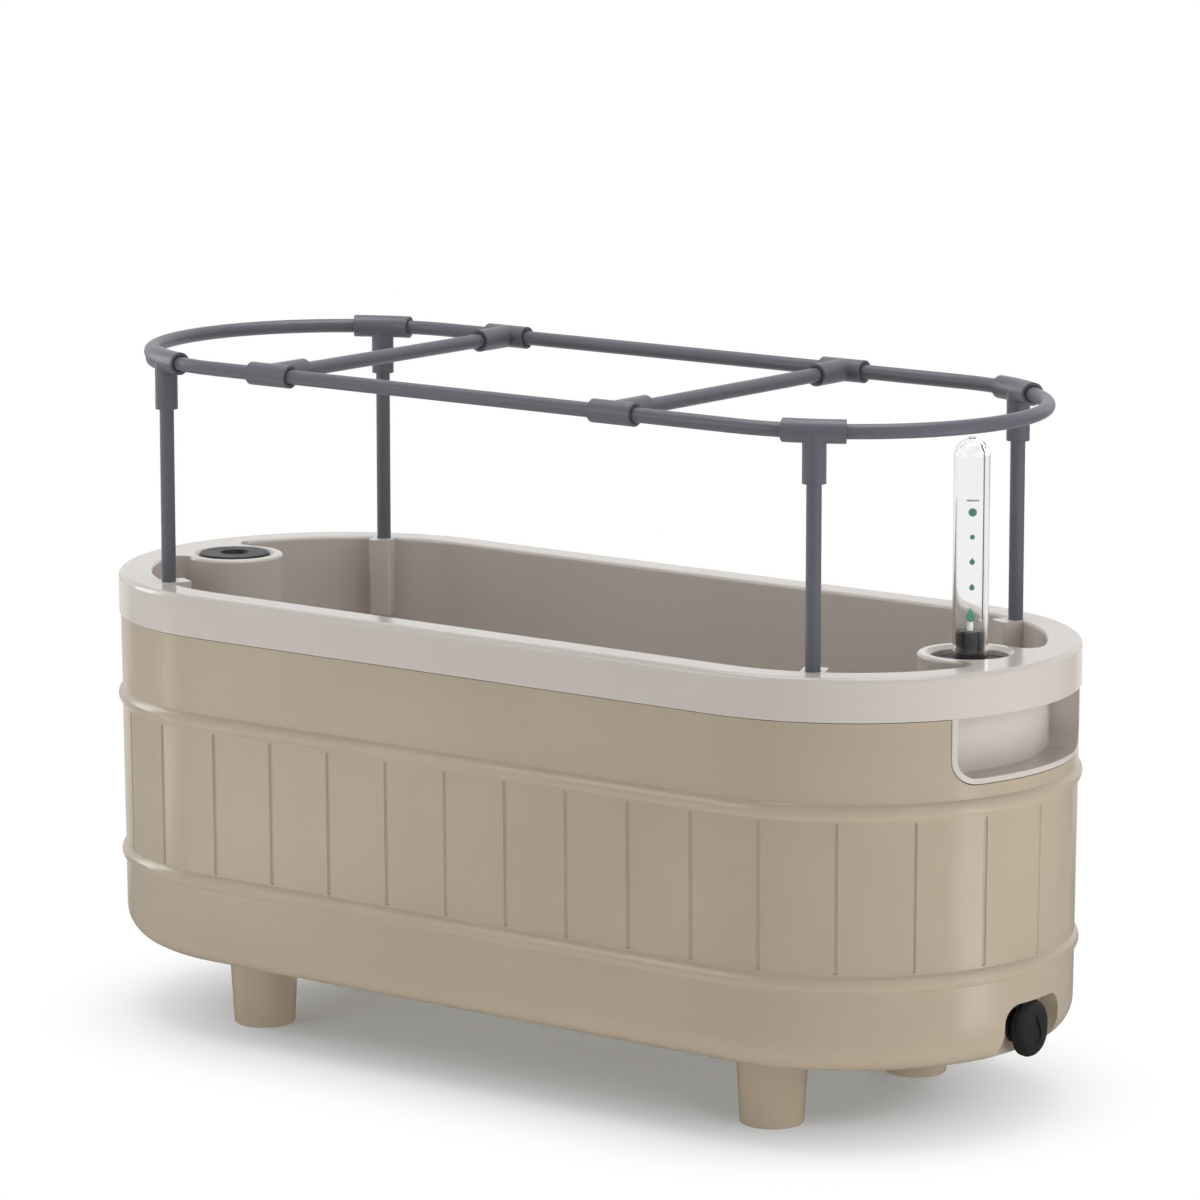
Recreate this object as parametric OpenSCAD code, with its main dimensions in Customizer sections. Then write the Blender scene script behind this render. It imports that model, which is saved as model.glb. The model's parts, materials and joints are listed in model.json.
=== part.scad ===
// Self-watering planter: a drained tub on four feet, a lift-out liner with wick cups and end grips,
// a fill port, a float gauge in a clear tube, and a support frame of rods that plugs into the rim.
// X runs along the length with the drain and the gauge at +X, the front faces -Y, the ground is Z = 0.

/* [Overall] */
// Length over the rim
length = 602; // [540:1:720]
// Width over the rim
width = 248; // [236:1:290]
// Height of the rim above the underside of the tub
body_h = 210.5; // [194:0.5:260]
// Height of the feet
foot_h = 41.5; // [20:0.5:60]

/* [Tub] */
// Wall of the tub
tub_wall = 3.2; // [2.4:0.1:4]
// Lean of the tub's wall in degrees
tub_draft = 0.5; // [0.2:0.1:1.2]
// Rounding of the tub's lower edge
tub_round = 18; // [10:1:26]
// Height of the lower hoop's middle above the underside of the tub
hoop_rise = 49.5; // [45:0.5:80]
// Drop of the upper hoop's middle below the rim's skirt
hoop_drop = 47.5; // [44:0.5:60]
// Height of a hoop
hoop_h = 9; // [6:0.5:12]
// How far a hoop stands proud of the wall
hoop_out = 2.3; // [1:0.1:3]
// Width of a stave, before the staves are spaced evenly
stave_w = 41.4; // [25:0.1:80]
// Radius of the groove between two staves
groove_r = 1.3; // [0.8:0.1:2]
// Depth of the groove between two staves
groove_d = 0.9; // [0.4:0.1:1.4]
// Plain strip between a groove's end and the hoop
groove_end = 1.2; // [0.5:0.1:8]

/* [Feet] */
// Radius of a foot at the tub
foot_top_r = 19.5; // [14:0.5:24]
// Radius of a foot at the ground
foot_low_r = 17.1; // [12:0.1:22]
// Distance from the rim's side to a foot's axis
foot_inset = 57; // [50:1:75]
// Radius of the pin on top of a foot
foot_pin_r = 6; // [4:0.5:8]
// Length of the pin on top of a foot
foot_pin_l = 11; // [6:1:16]
// Wall of the tub's boss around a foot's pin
foot_boss_wall = 4.5; // [2:0.5:8]

/* [Drain] */
// Height of the drain's axis above the underside of the tub
drain_rise = 14.5; // [14:0.5:18]
// Radius of the drain's bore
drain_r = 7; // [5:0.5:9]
// Width of the notch around the drain
notch_w = 50; // [46:1:70]
// Gap between the knob and the top of the notch
notch_gap = 0.5; // [0.5:0.5:4]
// Depth of the notch at the drain's axis
notch_d = 13.3; // [12:0.1:15]
// Rounding of the notch's upper corners
notch_round = 10; // [4:1:16]
// Thickness of the flat pad behind the notch
pad_t = 6; // [4:0.5:7]
// Thickness of the rubber washer
washer_t = 2; // [1:0.5:3]
// Width of the rubber washer's ring
washer_w = 2; // [1.5:0.1:3.5]
// Length of the plug's neck in front of the washer
plug_neck_l = 4; // [3.5:0.5:7]
// How far the plug's neck stands out past the drain's bore
plug_neck_lip = 0.8; // [0.5:0.1:2]
// Width of the plug's knob
knob_w = 27; // [24:1:30]
// Height of the plug's knob
knob_h = 31; // [26:1:34]
// Thickness of the plug's knob
knob_t = 8; // [5:0.5:8.5]
// Radius of the round end of the drop in the knob's face
knob_drop_r = 4.6; // [3:0.1:5]
// Height of that drop's tip above the middle of its round end
knob_drop_tip = 11.5; // [8:0.5:12]
// Depth of the drop in the knob's face
knob_drop_d = 0.8; // [0.4:0.1:1.2]

/* [Rim] */
// Height of the rim's skirt
skirt_h = 23; // [18:1:30]
// Thickness of the rim's skirt
skirt_t = 2.3; // [1.8:0.1:3]
// Width of the rim's top
rim_w = 19; // [17:0.5:22]
// Thickness of the rim's top
rim_t = 3.5; // [3:0.1:5]
// How far the skirt stands out past the tub
rim_out = 0.9; // [0.5:0.1:2]
// Rounding of the rim's outer edge
rim_round = 3; // [1:0.5:3.4]
// Rounding of the rim's inner edge and of the port's lip
lip_round = 2; // [1:0.25:2.4]

/* [Liner] */
// Wall of the liner
liner_wall = 2.5; // [2:0.1:3.5]
// Lean of the liner's wall in degrees
liner_draft = 0.5; // [0.2:0.1:0.6]
// Rounding of the liner's lower edge
liner_round = 12; // [8:1:20]
// Height of the water space between the tub's floor and the liner
water_h = 52; // [44:1:80]
// Half the width of an end grip
grip_half_w = 60; // [50:1:70]
// Height of an end grip below the skirt
grip_h = 35.5; // [28:0.5:38]
// Rounding of an end grip's lower corners
grip_round = 14; // [8:1:20]
// Thickness of the flange around an end grip
grip_t = 3; // [2:0.5:5]

/* [Ports] */
// Radius of a port's boss
boss_r = 28; // [27:0.5:30]
// Wall of a port's boss
boss_wall = 2.7; // [2:0.1:3.5]
// Rounding of the corners between a boss and the rim
web_round = 9; // [6:0.5:12]
// Radius of the seat for the cap
seat_r = 20.9; // [20.4:0.1:22]
// Depth of the seat for the cap
seat_d = 6; // [4:0.1:8]
// Bevel of the seat's upper edge
seat_bevel = 2.2; // [0.5:0.1:2.4]
// Radius of the hole under the seat
port_r = 18.5; // [17.5:0.1:19.5]
// Thickness of the ledge under the seat
ledge_t = 4; // [3:0.5:6]

/* [Fill cap] */
// How far the cap stands above the rim
cap_rise = 0.5; // [0:0.1:2]
// Bevel of the cap's edge
cap_bevel = 1.2; // [0.5:0.1:2]
// Length of the cap's plug below the seat
cap_plug_l = 9; // [7:0.5:14]
// Wall of the cap's plug
cap_wall = 2.4; // [1.6:0.1:3]
// Radius of the finger dish in the cap
dish_r = 8.5; // [6:0.5:12]
// Depth of the finger dish
dish_d = 2; // [1:0.25:2.5]
// Slope of the finger dish's wall
dish_slope = 1.5; // [0.5:0.25:3]

/* [Gauge] */
// Radius of the gauge's flange
flange_r = 19.4; // [19:0.1:19.8]
// Thickness of the gauge's flange
flange_t = 2; // [1.5:0.1:3]
// Radius of the clear tube
tube_r = 9.5; // [9:0.25:12]
// Wall of the clear tube
tube_wall = 1.5; // [1:0.1:2]
// Height of the clear tube above its flange
tube_h = 117; // [108:1:140]
// Radius of the nub on top of the clear tube
nub_r = 2; // [1.5:0.1:3]
// Height of the nub on top of the clear tube
nub_h = 0.5; // [0.3:0.1:1]
// Height of the black neck inside the clear tube
neck_h = 15.5; // [10:0.5:18]
// Height of the collar at the foot of the neck
collar_h = 4; // [2:0.5:6]
// How far the neck is set back from its collar
neck_step = 0.3; // [0.2:0.1:0.8]
// Width of a slot in the neck
neck_slot_w = 1.4; // [0.8:0.1:2]
// Depth of a slot in the neck
neck_slot_d = 2.2; // [1:0.1:2.5]
// Radius of the float's rod
rod_r = 1.6; // [1:0.1:2]
// Gap between the neck and the pointer at the lowest level
pointer_gap = 4.5; // [3:0.5:8]
// Radius of the pointer's round end
pointer_r = 2.4; // [1.8:0.1:3]
// Height of the pointer's tip above the middle of its round end
pointer_tip = 5; // [4:0.5:7]
// Thickness of the pointer
pointer_t = 2; // [1:0.5:3]
// Turn of the pointer away from the front, in degrees
gauge_turn = 37.5; // [0:0.5:90]

/* [Float] */
// Clearance of the cage in its port
cage_gap = 0.7; // [0.5:0.1:1.2]
// Wall of the float's cage
cage_wall = 1.8; // [1.4:0.1:2.4]
// Height of the cage above the tub's floor
cage_lift = 4; // [2:0.5:6]
// Length of the spigot that holds the cage
spigot_l = 12; // [8:1:20]
// Width of a slot in the cage
slot_w = 10; // [6:1:12]
// Clearance of the float in its cage
float_gap = 1; // [0.6:0.1:2]
// Height of the float
float_h = 24; // [16:1:32]
// Rounding of the float's edges
float_round = 3; // [1:0.5:5]

/* [Wick cups] */
// Distance between two wick cups
cup_pitch = 150; // [90:1:155]
// Radius of a cup's flange
cup_flange_r = 34; // [32:0.5:36]
// Radius of a cup at the liner's floor
cup_top_r = 29.5; // [26:0.5:30]
// Radius of a cup at its bottom
cup_low_r = 22; // [16:0.5:24]
// Wall of a cup
cup_wall = 2; // [1.5:0.1:2.5]
// Height of a cup above the tub's floor
cup_lift = 4; // [1:0.5:8]
// Width of a slot in a cup
cup_slot_w = 6; // [3:0.5:8]

/* [Support frame] */
// Diameter of the rods
rod_d = 8; // [6:0.25:9]
// Thinning of a rod's diameter where it is bent
bend_thin = 0.1; // [0.05:0.05:0.3]
// Height of the ring above the rim
frame_h = 124.5; // [110:0.5:160]
// Distance from the rim's edge to the ring
ring_inset = 20; // [18:0.5:22]
// Position of a corner post around the end, in degrees from the long axis
post_angle = 65; // [55:1:75]
// Diameter of a tee
tee_d = 12.6; // [11.5:0.1:14]
// Length of a corner tee along the ring
tee_run = 33; // [28:1:44]
// Length of a side tee along the ring
side_run = 27.5; // [22:0.5:40]
// Length of a tee's branch from the ring's axis
tee_branch = 27; // [20:1:34]
// Flare of the mouths of a tee's bores
tee_flare = 0.7; // [0.4:0.1:1]
// Solid web between a tee's two bores
tee_web = 1.5; // [1:0.1:2.5]
// Gap between two rods inside a tee
rod_stop = 2; // [1:0.5:4]
// Distance from the ring's fill end to its crossbar
bar_inset_left = 145.5; // [110:0.5:170]
// Distance from the ring's gauge end to its crossbar
bar_inset_right = 181; // [150:0.5:190]
// Wall of the liner's socket on both sides of a post
socket_wall = 2.2; // [1.8:0.1:4]
// How far the socket reaches in from the post's axis
socket_reach = 11.4; // [9:0.1:14]
// Rounding of the socket's inner corners
socket_round = 2; // [1:0.25:4]
// Depth of the liner's socket
socket_d = 38; // [24:1:50]
// Floor of the liner's socket
socket_floor = 6; // [3:0.5:8]

/* [Fits] */
// Clearance per side of pieces that are pushed together
snug = 0.1; // [0.05:0.05:0.2]
// Clearance per side of pieces that slide
slip = 0.3; // [0.2:0.05:0.4]
// Gap between the liner and the tub
liner_gap = 0.5; // [0.3:0.1:0.8]

/* [Hidden] */
$fn = 72;

tan_colour = "#b5a98f";
pale_colour = "#d3ccc4";
slate_colour = "#666873";
black_colour = "#1b1b1d";
teal_colour = "#3f8f7f";
clear_colour = [0.92, 0.94, 0.95, 0.4];

// Extra length of a cutter past the face that it cuts
over = 1;

// Levels above the ground
tub_floor = foot_h + tub_wall;
rim_top = foot_h + body_h;
rim_under = rim_top - rim_t;
skirt_low = rim_top - skirt_h;
shoulder = skirt_low - liner_gap;
hoop_levels = [foot_h + hoop_rise, skirt_low - hoop_drop];
liner_low = tub_floor + water_h;
liner_floor = liner_low + liner_wall;
grip_low = skirt_low - grip_h;
ledge = rim_top - seat_d;
drain_z = foot_h + drain_rise;
ring_z = rim_top + frame_h;
socket_low = rim_top - socket_d;

// Radii of the round ends
end_r = width / 2;
half_straight = length / 2 - end_r;
skirt_in = end_r - skirt_t;
tub_top_r = end_r - rim_out;
tub_neck_r = skirt_in - liner_gap;
open_r = end_r - rim_w;
ring_r = end_r - ring_inset;

// Radius of the tub's outside, and of the liner's outside, at a level
function tub_r(z) = tub_top_r - tan(tub_draft) * (shoulder - z);
function liner_r(z) = open_r + liner_wall - tan(liner_draft) * (rim_top - z);

// Ports, with their boss sunk a quarter of the wall into the liner's end
port_x = half_straight + open_r + liner_wall / 4 - boss_r;
cage_r = port_r - cage_gap;
cage_in = cage_r - cage_wall;
spigot_r = cage_in - snug;
float_r = cage_in - float_gap;
cage_low = tub_floor + cage_lift;
float_low = cage_low + cage_wall + slip;
rod_low = float_low + float_round;
tube_low = ledge + flange_t;
neck_top = tube_low + neck_h;
neck_r = tube_r - tube_wall - snug;
pointer_low = neck_top + pointer_gap;

// Drain, with the knob's slices from back to front: share of its thickness, and inset from its outline
pad_x = half_straight + tub_r(drain_z) - notch_d;
notch_h = drain_rise + knob_h / 2 + notch_gap;
plug_r = drain_r - slip;
washer_r = drain_r + washer_w;
plug_neck_r = drain_r + plug_neck_lip;
knob_slices = [[0, 2], [0.15, 0.4], [0.5, 0], [0.75, 0.8], [0.91, 2], [1, 4.5]];

// Support frame
post = [half_straight + ring_r * cos(post_angle), ring_r * sin(post_angle)];
socket_r = rod_d / 2 + slip;
socket_half = socket_r + socket_wall;
rod_end = rod_d / 2 + tee_web;
bore_d = rod_d + 2 * snug;
stop_angle = (rod_stop / 2) / ring_r * 180 / PI;
tee_angle = (tee_run / 2) / ring_r * 180 / PI;
bar_left = half_straight + ring_r - bar_inset_left;
bar_right = half_straight + ring_r - bar_inset_right;

// Points along an arc about a centre, from one angle to another
function arc(centre, r, from, to, steps = 8) =
    [for (i = [0:steps]) let (t = from + (to - from) * i / steps) centre + r * [cos(t), sin(t)]];

// An outline that starts and ends on the axis, with its mirror image
function both_sides(outline) =
    concat(outline, [for (i = [len(outline) - 2:-1:1]) [-outline[i][0], outline[i][1]]]);

// Outline of a drop, from the radius of its round end and the height of its tip above that end's middle
function drop(r, tip) =
    let (lean = acos(r / tip))
    concat(arc([0, 0], r, 90 + lean, 450 - lean, 14), [[0, tip]]);

// A solid with straight sides and round ends, from the outline of half its cross-section
module oblong(outline) {
    for (side = [-1, 1])
        translate([side * half_straight, 0, 0])
            rotate([0, 0, -90 * side])
                rotate_extrude(angle = 180) polygon(outline);
    rotate([90, 0, 90])
        translate([0, 0, -half_straight])
            linear_extrude(2 * half_straight) polygon(both_sides(outline));
}

// A solid cut along X from an outline drawn in Y and Z
module along_x(from, to) {
    translate([from, 0, 0]) rotate([90, 0, 90]) linear_extrude(to - from) children();
}

// Copies a shape made for the back right corner to another corner
module corner(sx, sy) {
    mirror([sx < 0 ? 1 : 0, 0, 0]) mirror([0, sy < 0 ? 1 : 0, 0]) children();
}

// Outline with an open top and rounded lower corners
module cradle_outline(half_w, low, high, r) {
    polygon(concat(
        [[-half_w, high]],
        arc([-half_w + r, low + r], r, 180, 270),
        arc([half_w - r, low + r], r, 270, 360),
        [[half_w, high]]
    ));
}

// The outside of the tub's lower edge, or of a shell inside it
function tub_edge(inset) =
    let (z = foot_h + tub_round, r = tub_r(z) - tub_round / cos(tub_draft))
    arc([r, z], tub_round - inset, -90, -tub_draft);

// A hoop's bulge at a level, as points that follow each other up the wall
function hoop(z) =
    let (
        r = (hoop_h * hoop_h / 4 + hoop_out * hoop_out) / (2 * hoop_out),
        half = asin(hoop_h / 2 / r)
    )
    arc([tub_r(z) + hoop_out - r, z], r, -half, half);

function tub_outline() = concat(
    [[0, foot_h]],
    tub_edge(0),
    hoop(hoop_levels[0]),
    hoop(hoop_levels[1]),
    [[tub_top_r, shoulder], [tub_neck_r, shoulder], [tub_neck_r, rim_under], [0, rim_under]]
);

function tub_cavity() = concat(
    [[0, tub_floor]],
    tub_edge(tub_wall),
    [
        [tub_r(hoop_levels[1]) - tub_wall, hoop_levels[1]],
        [tub_neck_r - tub_wall, shoulder],
        [tub_neck_r - tub_wall, rim_under + over],
        [0, rim_under + over]
    ]
);

// Grooves between the staves, spaced evenly around the wall from the middle of the front
module stave_grooves() {
    low = hoop_levels[0] + hoop_h / 2 + groove_end;
    high = hoop_levels[1] - hoop_h / 2 - groove_end;
    middle = (low + high) / 2;
    r = tub_r(middle);
    quarter = half_straight + r * 90 * PI / 180;
    count = 4 * round(quarter / stave_w);
    for (i = [0:count - 1]) {
        s = 4 * quarter * i / count;
        // Distance along the half of the wall that starts at the middle of the front or of the back
        side = s < 2 * quarter ? 1 : -1;
        along = s < 2 * quarter ? s : s - 2 * quarter;
        arc_s = along - half_straight;
        arc_l = r * PI;
        turn = arc_s < 0 ? -90 : arc_s > arc_l ? 90 : -90 + arc_s / r * 180 / PI;
        x = arc_s < 0 ? along : arc_s > arc_l ? 2 * half_straight + arc_l - along : half_straight;
        rotate([0, 0, side > 0 ? 0 : 180])
            translate([x, 0, 0])
                rotate([0, 0, turn])
                    translate([r + groove_r - groove_d, 0, middle])
                        rotate([0, tub_draft, 0])
                            cylinder(r = groove_r, h = high - low, center = true, $fn = 24);
    }
}

module tub() {
    boss_top = foot_h + foot_pin_l + tub_wall;
    color(tan_colour) difference() {
        union() {
            difference() {
                oblong(tub_outline());
                oblong(tub_cavity());
            }
            // Thick pad and side walls around the drain's notch
            intersection() {
                oblong(tub_outline());
                along_x(pad_x - pad_t, length / 2)
                    translate([-notch_w / 2 - tub_wall, foot_h])
                        square([notch_w + 2 * tub_wall, notch_h + tub_wall]);
            }
            for (sx = [-1, 1], sy = [-1, 1])
                corner(sx, sy)
                    translate([half_straight, end_r - foot_inset, foot_h + tub_wall / 2])
                        cylinder(r = foot_pin_r + foot_boss_wall, h = boss_top - foot_h);
        }
        stave_grooves();
        // Notch and bore of the drain
        along_x(pad_x, length / 2 + over)
            mirror([0, 1])
                cradle_outline(notch_w / 2, -foot_h - notch_h, -foot_h + over, notch_round);
        translate([pad_x - pad_t - over, 0, drain_z])
            rotate([0, 90, 0])
                cylinder(r = drain_r, h = pad_t + 2 * over);
        // Slots that the liner's end grips drop into
        for (side = [0, 180])
            rotate([0, 0, side])
                along_x(half_straight, length / 2 + over)
                    cradle_outline(grip_half_w + liner_gap, grip_low - liner_gap, rim_top,
                        grip_round + liner_gap);
        for (sx = [-1, 1], sy = [-1, 1])
            corner(sx, sy)
                translate([half_straight, end_r - foot_inset, foot_h - over])
                    cylinder(r = foot_pin_r + snug, h = foot_pin_l + snug + over);
    }
}

module foot(sx, sy) {
    edge = 1.5;
    color(tan_colour)
        corner(sx, sy)
            translate([half_straight, end_r - foot_inset, 0])
                rotate_extrude()
                    polygon(concat(
                        [[0, 0]],
                        arc([foot_low_r - edge, edge], edge, -90, 0, 4),
                        [
                            [foot_top_r, foot_h], [foot_pin_r, foot_h],
                            [foot_pin_r, foot_h + foot_pin_l], [0, foot_h + foot_pin_l]
                        ]
                    ));
}

// Places a shape drawn along +Z on the drain's axis, with Z = 0 at the pad
module at_drain() {
    translate([pad_x, 0, drain_z]) rotate([0, 90, 0]) children();
}

module drain_washer() {
    color(black_colour) at_drain() difference() {
        cylinder(r = washer_r, h = washer_t);
        translate([0, 0, -over]) cylinder(r = plug_r + snug, h = washer_t + 2 * over);
    }
}

// Thin slice of the knob: an upright oval that is drawn in from its full outline
module knob_slice(level, inset) {
    lift = (knob_h - knob_w) / 2;
    thin = 0.01;
    for (dx = [-lift, lift])
        translate([dx, 0, level])
            cylinder(r = knob_w / 2 - inset, h = thin, $fn = 48);
}

module drain_plug() {
    knob_low = washer_t + plug_neck_l;
    knob_face = knob_low + knob_t;
    color(black_colour) at_drain() {
        translate([0, 0, -pad_t]) cylinder(r = plug_r, h = pad_t + washer_t + over);
        translate([0, 0, washer_t]) cylinder(r = plug_neck_r, h = plug_neck_l + over);
        difference() {
            hull()
                for (slice = knob_slices)
                    knob_slice(knob_low + slice[0] * knob_t, slice[1]);
            // Drop in the knob's face, with its tip at the top
            translate([(knob_drop_tip - knob_drop_r) / 2, 0, knob_face - knob_drop_d])
                rotate([0, 0, 90])
                    linear_extrude(knob_drop_d + over) polygon(drop(knob_drop_r, knob_drop_tip));
        }
    }
}

function liner_edge(inset, from, to) =
    let (z = liner_low + liner_round, r = liner_r(z) - liner_round / cos(liner_draft))
    arc([r, z], liner_round - inset, from, to);

function liner_outline() = concat(
    [[0, liner_low]],
    liner_edge(0, -90, -liner_draft),
    [
        [liner_r(rim_under), rim_under], [skirt_in, rim_under],
        [skirt_in, skirt_low], [end_r, skirt_low]
    ],
    arc([end_r - rim_round, rim_top - rim_round], rim_round, 0, 90),
    arc([open_r + lip_round, rim_top - lip_round], lip_round, 90, 180),
    liner_edge(liner_wall, -liner_draft, -90),
    [[0, liner_floor]]
);

// Plan of the web between a port's boss and the liner's end, out to a radius about the end's middle
module web_plan(reach) {
    // The web's round corners bite a little into the boss and the wall
    bite = 0.7;
    to_wall = open_r + bite - web_round;
    to_boss = boss_r + web_round - bite;
    span = port_x - half_straight;
    corner_x = (to_wall * to_wall - to_boss * to_boss + span * span) / (2 * span);
    corner_y = sqrt(to_wall * to_wall - corner_x * corner_x);
    corner_turn = atan2(corner_y, corner_x);
    difference() {
        polygon(concat(
            [[span, 0], [corner_x, -corner_y]],
            arc([0, 0], reach, -corner_turn, corner_turn, 12),
            [[corner_x, corner_y]]
        ));
        for (sy = [-1, 1])
            translate([corner_x, sy * corner_y]) circle(r = web_round);
    }
}

// Solid boss of a port with a rounded lip, and the web that joins it to the liner's end and to the rim
module port_boss() {
    translate([port_x, 0, 0])
        rotate_extrude()
            polygon(concat(
                [[0, liner_low], [boss_r, liner_low]],
                arc([boss_r - lip_round, rim_top - lip_round], lip_round, 0, 90),
                [[0, rim_top]]
            ));
    translate([half_straight, 0, liner_low])
        linear_extrude(rim_top - liner_low) web_plan(open_r + liner_wall / 4);
    translate([half_straight, 0, rim_under])
        linear_extrude(rim_t) web_plan(open_r + 1.5 * lip_round);
}

// Bore of a port: a wide chimney, a ledge with a hole, and a seat
module port_bore() {
    ledge_low = ledge - ledge_t;
    translate([port_x, 0, 0])
        rotate_extrude()
            polygon([
                [0, liner_low - over], [boss_r - boss_wall, liner_low - over],
                [boss_r - boss_wall, ledge_low], [port_r, ledge_low], [port_r, ledge],
                [seat_r, ledge], [seat_r, rim_top - seat_bevel],
                [seat_r + seat_bevel + over, rim_top + over], [0, rim_top + over]
            ]);
}

// Flange around an end grip, from the liner's wall out to the tub's surface
module grip_flange() {
    wall_r = liner_r(grip_low) - liner_wall / 2;
    intersection() {
        along_x(half_straight, length / 2)
            difference() {
                cradle_outline(grip_half_w, grip_low, rim_under + over, grip_round);
                cradle_outline(grip_half_w - grip_t, grip_low + grip_t, rim_top, grip_round - grip_t);
            }
        translate([half_straight, 0, grip_low - over])
            difference() {
                cylinder(r = tub_top_r, h = rim_top - grip_low);
                translate([0, 0, -over]) cylinder(r = wall_r, h = rim_top - grip_low + 2 * over);
            }
    }
}

// Block inside the rim that a post plugs into, with a flat face towards the middle
module socket_block() {
    inner_x = socket_round - socket_reach;
    inner_y = socket_half - socket_round;
    translate([post[0], post[1], socket_low - socket_floor])
        rotate([0, 0, post_angle])
            linear_extrude(socket_d + socket_floor)
                polygon(concat(
                    [[socket_half, socket_half]],
                    arc([inner_x, inner_y], socket_round, 90, 180, 4),
                    arc([inner_x, -inner_y], socket_round, 180, 270, 4),
                    [[socket_half, -socket_half]]
                ));
}

module liner() {
    cup_hole_r = cup_top_r + slip;
    color(pale_colour) difference() {
        union() {
            oblong(liner_outline());
            for (side = [0, 180])
                rotate([0, 0, side]) {
                    port_boss();
                    grip_flange();
                }
            for (sx = [-1, 1], sy = [-1, 1])
                corner(sx, sy) socket_block();
        }
        for (side = [0, 180])
            rotate([0, 0, side]) port_bore();
        for (sx = [-1, 1], sy = [-1, 1])
            corner(sx, sy)
                translate([post[0], post[1], socket_low])
                    cylinder(r = socket_r, h = socket_d + over);
        for (i = [-1:1])
            translate([i * cup_pitch, 0, liner_low - over])
                cylinder(r = cup_hole_r, h = liner_wall + 2 * over);
    }
}

module wick_cup(i) {
    cup_low = tub_floor + cup_lift;
    slot_low = cup_low + 4 * cup_wall;
    slot_high = liner_low - 2 * cup_wall;
    color(pale_colour) translate([i * cup_pitch, 0, 0]) difference() {
        rotate_extrude()
            polygon([
                [0, cup_low], [cup_low_r, cup_low], [cup_top_r, liner_floor],
                [cup_flange_r, liner_floor], [cup_flange_r, liner_floor + cup_wall],
                [cup_top_r - cup_wall, liner_floor + cup_wall],
                [cup_low_r - cup_wall, cup_low + cup_wall], [0, cup_low + cup_wall]
            ]);
        for (turn = [0:60:300])
            rotate([0, 0, turn])
                translate([0, -cup_slot_w / 2, slot_low])
                    cube([cup_flange_r, cup_slot_w, slot_high - slot_low]);
    }
}

module fill_cap() {
    cap_r = seat_r - slip - snug;
    cap_top = rim_top + cap_rise;
    inner_r = port_r - slip - snug;
    dish_low = cap_top - dish_d;
    color(black_colour) translate([-port_x, 0, 0])
        rotate_extrude()
            polygon([
                [0, ledge], [inner_r - cap_wall, ledge], [inner_r - cap_wall, ledge - cap_plug_l],
                [inner_r, ledge - cap_plug_l], [inner_r, ledge], [cap_r, ledge],
                [cap_r, cap_top - cap_bevel], [cap_r - cap_bevel, cap_top],
                [dish_r, cap_top], [dish_r - dish_slope, dish_low], [0, dish_low]
            ]);
}

module gauge_flange() {
    hole_r = rod_r + slip;
    bevel = 0.8;
    stem_r = neck_r - neck_step;
    collar_top = tube_low + collar_h;
    color(black_colour) translate([port_x, 0, 0]) difference() {
        rotate_extrude()
            polygon([
                [hole_r, ledge - spigot_l], [spigot_r, ledge - spigot_l], [spigot_r, ledge],
                [flange_r, ledge], [flange_r, tube_low - bevel], [flange_r - bevel, tube_low],
                [neck_r, tube_low], [neck_r, collar_top], [stem_r, collar_top],
                [stem_r, neck_top - bevel], [stem_r - bevel, neck_top], [hole_r, neck_top]
            ]);
        for (turn = [0:60:300])
            rotate([0, 0, gauge_turn + turn])
                translate([stem_r - neck_slot_d, -neck_slot_w / 2, collar_top + bevel])
                    cube([neck_slot_d + over, neck_slot_w, neck_h]);
    }
}

module gauge_tube() {
    in_r = tube_r - tube_wall;
    dome_z = tube_low + tube_h - tube_r;
    nub_top = tube_low + tube_h + nub_h;
    color(clear_colour) translate([port_x, 0, 0])
        rotate_extrude()
            polygon(concat(
                [[tube_r, tube_low]],
                arc([0, dome_z], tube_r, 0, acos(nub_r / tube_r), 10),
                [[nub_r, nub_top], [0, nub_top]],
                arc([0, dome_z], in_r, 90, 0, 10),
                [[in_r, tube_low]]
            ));
}

module float_cage() {
    slot_gap = 5 * cage_wall;
    slot_low = cage_low + slot_gap;
    slot_high = liner_low + slot_gap;
    color(pale_colour) translate([port_x, 0, 0]) difference() {
        translate([0, 0, cage_low]) cylinder(r = cage_r, h = ledge - cage_low);
        translate([0, 0, cage_low + cage_wall]) cylinder(r = cage_in, h = ledge - cage_low);
        for (turn = [45, 135])
            rotate([0, 0, turn])
                translate([-cage_r - over, -slot_w / 2, slot_low])
                    cube([2 * (cage_r + over), slot_w, slot_high - slot_low]);
        translate([0, 0, cage_low - over]) cylinder(r = cage_in / 2, h = cage_wall + 2 * over);
    }
}

module float() {
    hole_r = rod_r + snug;
    top = float_low + float_h;
    color(pale_colour) translate([port_x, 0, 0])
        rotate_extrude()
            polygon(concat(
                [[0, float_low]],
                arc([float_r - float_round, float_low + float_round], float_round, -90, 0, 4),
                arc([float_r - float_round, top - float_round], float_round, 0, 90, 4),
                [[hole_r, top], [hole_r, rod_low], [0, rod_low]]
            ));
}

module float_rod() {
    color(pale_colour) translate([port_x, 0, rod_low]) cylinder(r = rod_r, h = pointer_low - rod_low);
}

module level_pointer() {
    color(teal_colour)
        translate([port_x, 0, pointer_low + pointer_r])
            rotate([90, 0, gauge_turn])
                linear_extrude(pointer_t, center = true) polygon(drop(pointer_r, pointer_tip));
}

module upright(sx, sy) {
    color(slate_colour)
        corner(sx, sy)
            translate([post[0], post[1], socket_low])
                cylinder(d = rod_d, h = ring_z - rod_end - socket_low);
}

// Part of the ring's round end, with a round section
module ring_arc(d, from, to) {
    translate([half_straight, 0, ring_z])
        rotate([0, 0, from])
            rotate_extrude(angle = to - from)
                translate([ring_r, 0]) circle(d = d);
}

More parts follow.
